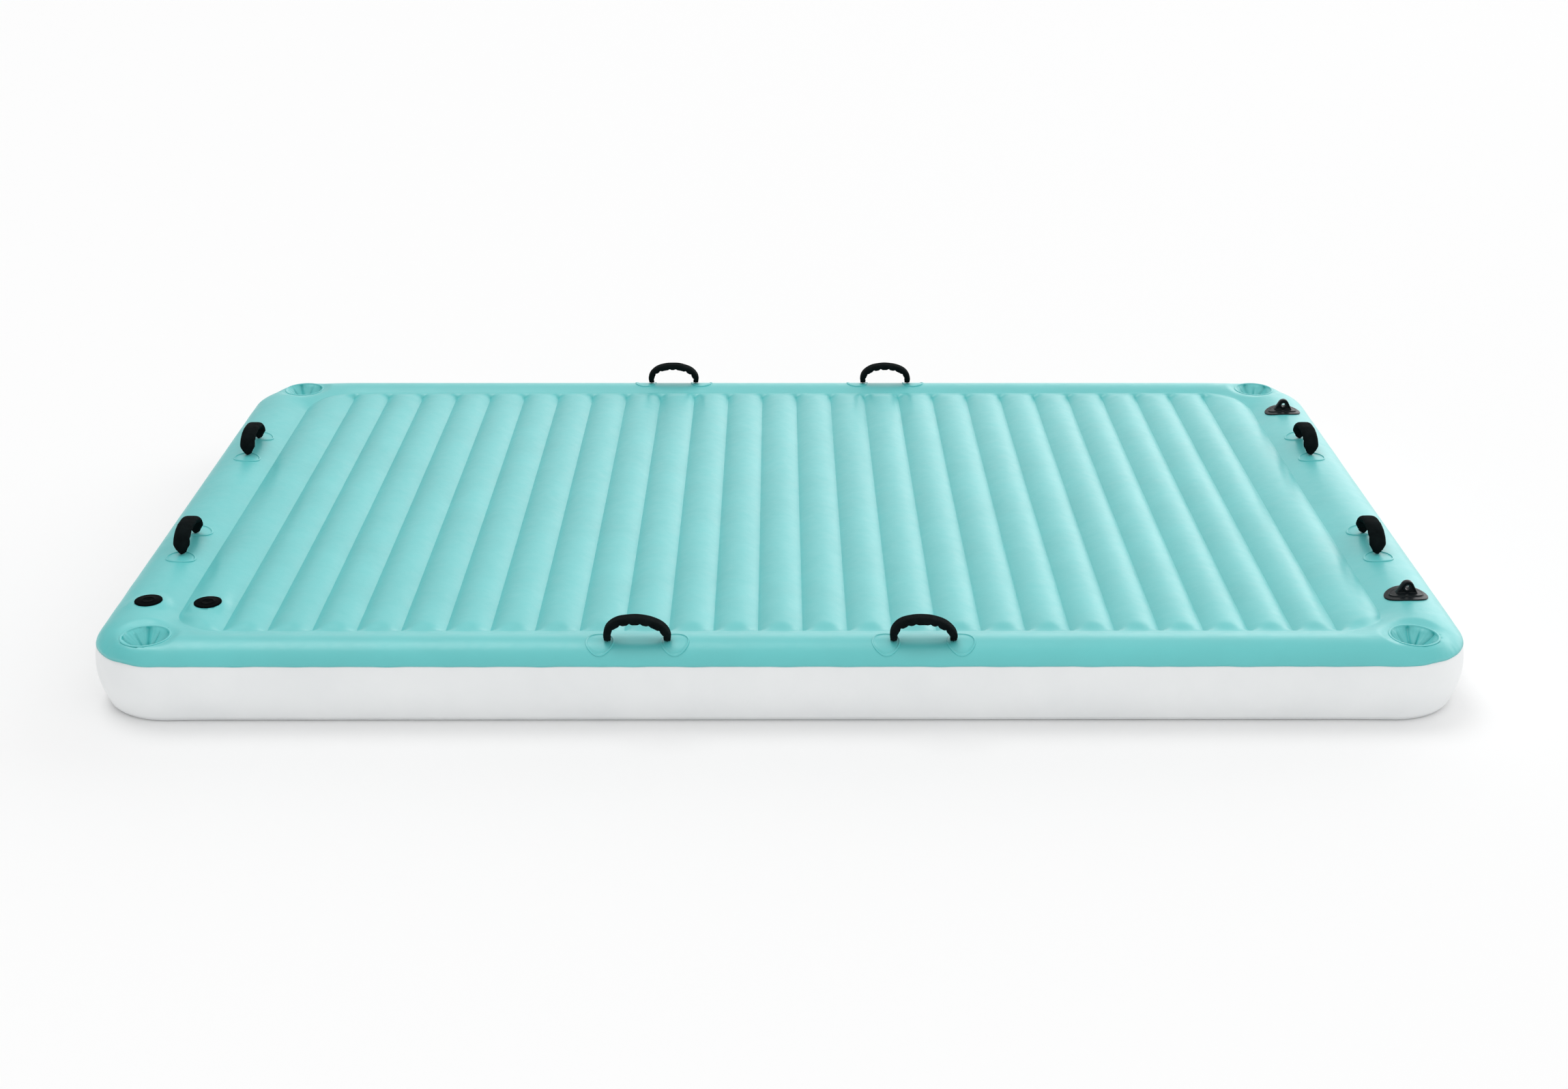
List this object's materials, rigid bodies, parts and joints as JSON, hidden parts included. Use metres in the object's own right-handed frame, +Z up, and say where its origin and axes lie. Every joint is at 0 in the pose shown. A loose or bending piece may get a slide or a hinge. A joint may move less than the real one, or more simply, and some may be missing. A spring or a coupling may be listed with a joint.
{
  "type": "inflatable raft",
  "caption": "Ribbed inflatable raft with a tube round its edge, cup pockets, padded grab handles, rope lugs and screw-cap valves.",
  "frame": {"origin": "middle of the raft's footprint, on the ground", "axes": "+X along the raft's length, +Y from its front long edge to its back one, +Z up"},
  "size_m": [3.1, 1.89, 0.2465],
  "materials": {
    "deck_vinyl": "satin aqua vinyl film",
    "wall_vinyl": "satin white vinyl film",
    "bottom_vinyl": "satin white vinyl film",
    "chamber_film": "plain vinyl film",
    "pocket_vinyl": "satin aqua vinyl film",
    "patch_vinyl": "satin aqua vinyl film",
    "strap_webbing": "woven webbing",
    "sleeve_cloth": "padded cloth sleeve",
    "lug_rubber": "satin moulded rubber",
    "valve_seal": "soft moulded seal",
    "valve_plastic": "satin moulded plastic"
  },
  "bodies": {
    "mat": {"deck_skin": "deck_vinyl", "side_wall": "wall_vinyl", "bottom_skin": "bottom_vinyl", "chamber_wall": "chamber_film", "cup_pocket_front_left": "pocket_vinyl", "cup_pocket_front_right": "pocket_vinyl", "cup_pocket_back_left": "pocket_vinyl", "cup_pocket_back_right": "pocket_vinyl", "handle_patch_front_left_a": "patch_vinyl", "handle_patch_front_left_b": "patch_vinyl", "handle_patch_left_front_a": "patch_vinyl", "handle_patch_left_front_b": "patch_vinyl", "handle_patch_front_right_a": "patch_vinyl", "handle_patch_front_right_b": "patch_vinyl", "handle_patch_right_front_a": "patch_vinyl", "handle_patch_right_front_b": "patch_vinyl", "handle_patch_back_left_a": "patch_vinyl", "handle_patch_back_left_b": "patch_vinyl", "handle_patch_left_back_a": "patch_vinyl", "handle_patch_left_back_b": "patch_vinyl", "handle_patch_back_right_a": "patch_vinyl", "handle_patch_back_right_b": "patch_vinyl", "handle_patch_right_back_a": "patch_vinyl", "handle_patch_right_back_b": "patch_vinyl", "rope_lug_front": "lug_rubber", "rope_lug_back": "lug_rubber", "tube_valve_base": "valve_plastic", "rib_valve_base": "valve_plastic"},
    "handle_front_left": {"handle_strap_front_left": "strap_webbing", "handle_sleeve_front_left": "sleeve_cloth"},
    "handle_left_front": {"handle_strap_left_front": "strap_webbing", "handle_sleeve_left_front": "sleeve_cloth"},
    "handle_front_right": {"handle_strap_front_right": "strap_webbing", "handle_sleeve_front_right": "sleeve_cloth"},
    "handle_right_front": {"handle_strap_right_front": "strap_webbing", "handle_sleeve_right_front": "sleeve_cloth"},
    "handle_back_left": {"handle_strap_back_left": "strap_webbing", "handle_sleeve_back_left": "sleeve_cloth"},
    "handle_left_back": {"handle_strap_left_back": "strap_webbing", "handle_sleeve_left_back": "sleeve_cloth"},
    "handle_back_right": {"handle_strap_back_right": "strap_webbing", "handle_sleeve_back_right": "sleeve_cloth"},
    "handle_right_back": {"handle_strap_right_back": "strap_webbing", "handle_sleeve_right_back": "sleeve_cloth"},
    "tube_valve_gasket": {"tube_valve_gasket": "valve_seal"},
    "tube_valve_insert": {"tube_valve_insert": "valve_plastic"},
    "tube_valve_check_flap": {"tube_valve_check_flap": "valve_seal"},
    "tube_valve_tether_ring": {"tube_valve_tether_ring": "valve_plastic"},
    "tube_valve_cap": {"tube_valve_cap": "valve_plastic"},
    "rib_valve_gasket": {"rib_valve_gasket": "valve_seal"},
    "rib_valve_insert": {"rib_valve_insert": "valve_plastic"},
    "rib_valve_check_flap": {"rib_valve_check_flap": "valve_seal"},
    "rib_valve_tether_ring": {"rib_valve_tether_ring": "valve_plastic"},
    "rib_valve_cap": {"rib_valve_cap": "valve_plastic"}
  },
  "joints": [
    {"name": "handle_front_left_swing", "type": "hinge", "parent": "mat", "child": "handle_front_left", "pos_m": [-0.316, -0.893, 0.19618], "axis": [1, 0, 0], "range_deg": [-48, 67], "stiffness_Nm_per_rad": 0.12},
    {"name": "handle_left_front_swing", "type": "hinge", "parent": "mat", "child": "handle_left_front", "pos_m": [-1.446, -0.342, 0.19826], "axis": [0, 1, 0], "range_deg": [-51, 64], "stiffness_Nm_per_rad": 0.12},
    {"name": "handle_front_right_swing", "type": "hinge", "parent": "mat", "child": "handle_front_right", "pos_m": [0.316, -0.893, 0.19618], "axis": [1, 0, 0], "range_deg": [-48, 67], "stiffness_Nm_per_rad": 0.12},
    {"name": "handle_right_front_swing", "type": "hinge", "parent": "mat", "child": "handle_right_front", "pos_m": [1.446, -0.342, 0.19826], "axis": [0, 1, 0], "range_deg": [-64, 51], "stiffness_Nm_per_rad": 0.12},
    {"name": "handle_back_left_swing", "type": "hinge", "parent": "mat", "child": "handle_back_left", "pos_m": [-0.316, 0.893, 0.19618], "axis": [1, 0, 0], "range_deg": [-67, 48], "stiffness_Nm_per_rad": 0.12},
    {"name": "handle_left_back_swing", "type": "hinge", "parent": "mat", "child": "handle_left_back", "pos_m": [-1.446, 0.342, 0.19826], "axis": [0, 1, 0], "range_deg": [-51, 64], "stiffness_Nm_per_rad": 0.12},
    {"name": "handle_back_right_swing", "type": "hinge", "parent": "mat", "child": "handle_back_right", "pos_m": [0.316, 0.893, 0.19618], "axis": [1, 0, 0], "range_deg": [-67, 48], "stiffness_Nm_per_rad": 0.12},
    {"name": "handle_right_back_swing", "type": "hinge", "parent": "mat", "child": "handle_right_back", "pos_m": [1.446, 0.342, 0.19826], "axis": [0, 1, 0], "range_deg": [-64, 51], "stiffness_Nm_per_rad": 0.12},
    {"name": "tube_valve_insert_lift", "type": "slide", "parent": "mat", "child": "tube_valve_gasket", "axis": [0, 0, 1], "range_m": [0, 0.006]},
    {"name": "tube_valve_insert_turn", "type": "hinge", "parent": "tube_valve_gasket", "child": "tube_valve_insert", "pos_m": [-1.45226, -0.681, 0.185], "axis": [0, 0, 1], "range_deg": [0, 541]},
    {"name": "tube_valve_flap_lift", "type": "slide", "parent": "tube_valve_insert", "child": "tube_valve_check_flap", "axis": [0, 0, 1], "range_m": [-0.003, 0], "stiffness_N_per_m": 60, "springref_m": 0.001},
    {"name": "tube_valve_cap_lift", "type": "slide", "parent": "tube_valve_insert", "child": "tube_valve_tether_ring", "axis": [0, 0, 1], "range_m": [0, 0.005]},
    {"name": "tube_valve_cap_turn", "type": "hinge", "parent": "tube_valve_tether_ring", "child": "tube_valve_cap", "pos_m": [-1.45226, -0.681, 0.185], "axis": [0, 0, 1], "range_deg": [0, 361]},
    {"name": "rib_valve_insert_lift", "type": "slide", "parent": "mat", "child": "rib_valve_gasket", "axis": [0, 0, 1], "range_m": [0, 0.006]},
    {"name": "rib_valve_insert_turn", "type": "hinge", "parent": "rib_valve_gasket", "child": "rib_valve_insert", "pos_m": [-1.3165, -0.681, 0.1805], "axis": [0, 0, 1], "range_deg": [0, 541]},
    {"name": "rib_valve_flap_lift", "type": "slide", "parent": "rib_valve_insert", "child": "rib_valve_check_flap", "axis": [0, 0, 1], "range_m": [-0.003, 0], "stiffness_N_per_m": 60, "springref_m": 0.001},
    {"name": "rib_valve_cap_lift", "type": "slide", "parent": "rib_valve_insert", "child": "rib_valve_tether_ring", "axis": [0, 0, 1], "range_m": [0, 0.005]},
    {"name": "rib_valve_cap_turn", "type": "hinge", "parent": "rib_valve_tether_ring", "child": "rib_valve_cap", "pos_m": [-1.3165, -0.681, 0.1805], "axis": [0, 0, 1], "range_deg": [0, 361]}
  ],
  "couplings": [
    {"joint": "tube_valve_insert_turn", "follows": "tube_valve_insert_lift", "rad_per_m": 1570.8},
    {"joint": "tube_valve_cap_turn", "follows": "tube_valve_cap_lift", "rad_per_m": 1256.6},
    {"joint": "rib_valve_insert_turn", "follows": "rib_valve_insert_lift", "rad_per_m": 1570.8},
    {"joint": "rib_valve_cap_turn", "follows": "rib_valve_cap_lift", "rad_per_m": 1256.6}
  ]
}
